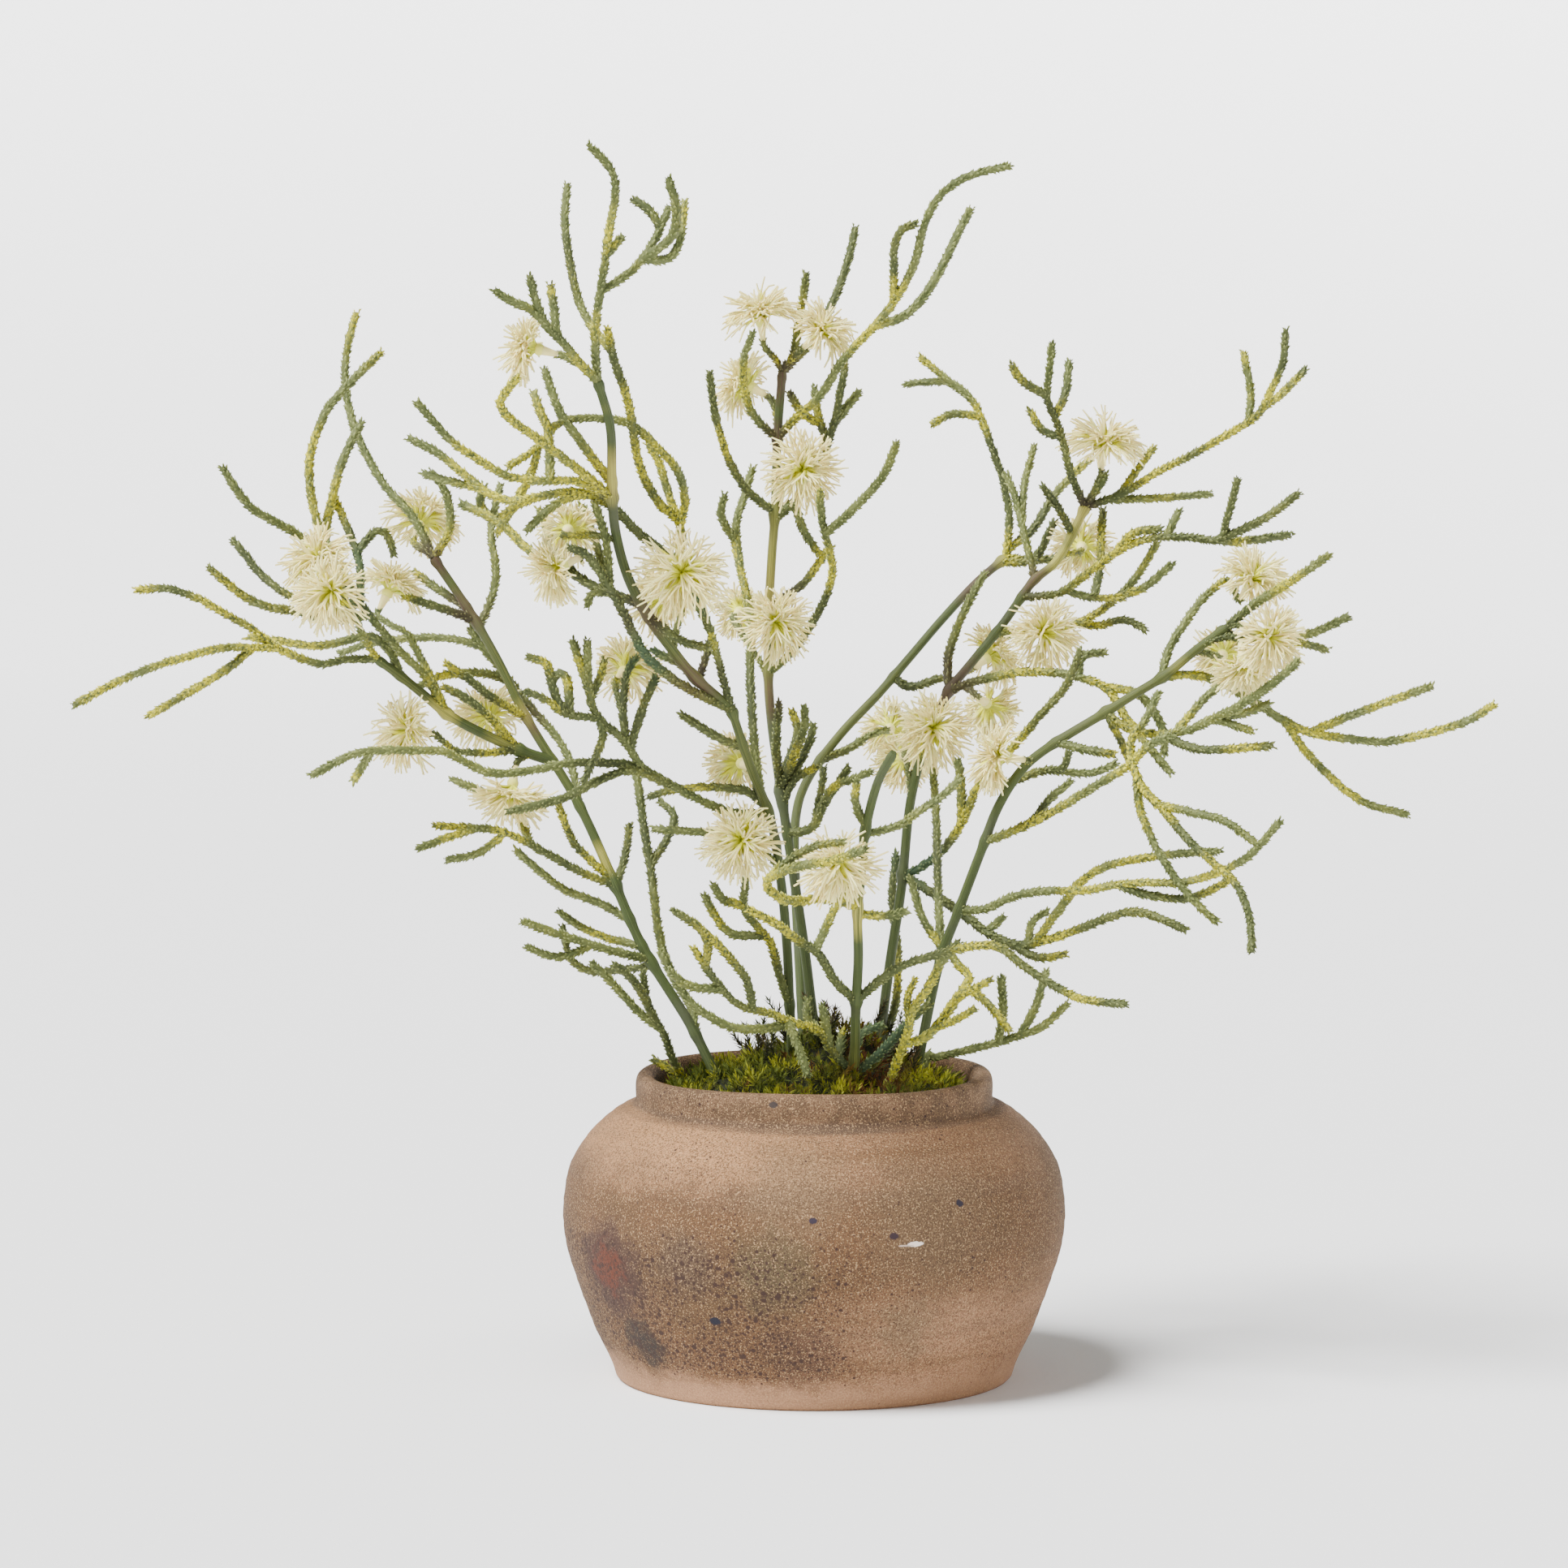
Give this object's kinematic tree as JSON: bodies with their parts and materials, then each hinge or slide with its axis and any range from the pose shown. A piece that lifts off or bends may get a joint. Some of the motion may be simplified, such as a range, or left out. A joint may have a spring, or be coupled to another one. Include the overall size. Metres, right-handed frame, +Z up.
{
  "type": "spider flower arrangement in pot",
  "caption": "Squat round stoneware jar filled with moss and branching scaly green stems that carry cream pin-cushion blooms.",
  "frame": {"origin": "centre of the jar's flat base, on the surface that it stands on", "axes": "+Z up along the jar's axis, -Y towards the viewer of the picture, +X to the viewer's right"},
  "size_m": [0.6859, 0.3568, 0.6036],
  "materials": {
    "brown_stoneware": "matt gritty unglazed stoneware, warm brown with dark speckles",
    "dark_foam": "rigid dark planting foam",
    "moss": "preserved moss, olive to yellow green",
    "green_stem": "flocked green stems with yellow and purple-brown tinges",
    "cream_petals": "cream thread-like petals with yellow-green centres"
  },
  "bodies": {
    "root": {"jar": "brown_stoneware", "foam_filling": "dark_foam", "moss_pad": "moss", "stem_left": "green_stem", "stem_left_low": "green_stem", "stem_centre_left": "green_stem", "stem_centre_tall": "green_stem", "stem_front": "green_stem", "stem_back_long": "green_stem", "stem_right_tall": "green_stem", "stem_right": "green_stem", "sprig_right_rim": "green_stem", "sprig_front": "green_stem", "bloom_01": "cream_petals", "bloom_02": "cream_petals", "bloom_03": "cream_petals", "bloom_04": "cream_petals", "bloom_05": "cream_petals", "bloom_06": "cream_petals", "bloom_07": "cream_petals", "bloom_08": "cream_petals", "bloom_09": "cream_petals", "bloom_10": "cream_petals", "bloom_11": "cream_petals", "bloom_12": "cream_petals", "bloom_13": "cream_petals", "bloom_14": "cream_petals", "bloom_15": "cream_petals", "bloom_16": "cream_petals", "bloom_17": "cream_petals", "bloom_18": "cream_petals", "bloom_19": "cream_petals", "bloom_20": "cream_petals", "bloom_21": "cream_petals", "bloom_22": "cream_petals", "bloom_23": "cream_petals", "bloom_24": "cream_petals", "bloom_25": "cream_petals", "bloom_26": "cream_petals", "bloom_27": "cream_petals", "bloom_28": "cream_petals", "bloom_29": "cream_petals", "bloom_30": "cream_petals", "bloom_31": "cream_petals", "bloom_32": "cream_petals", "bloom_33": "cream_petals", "bloom_34": "cream_petals", "bloom_35": "cream_petals"}
  },
  "joints": []
}
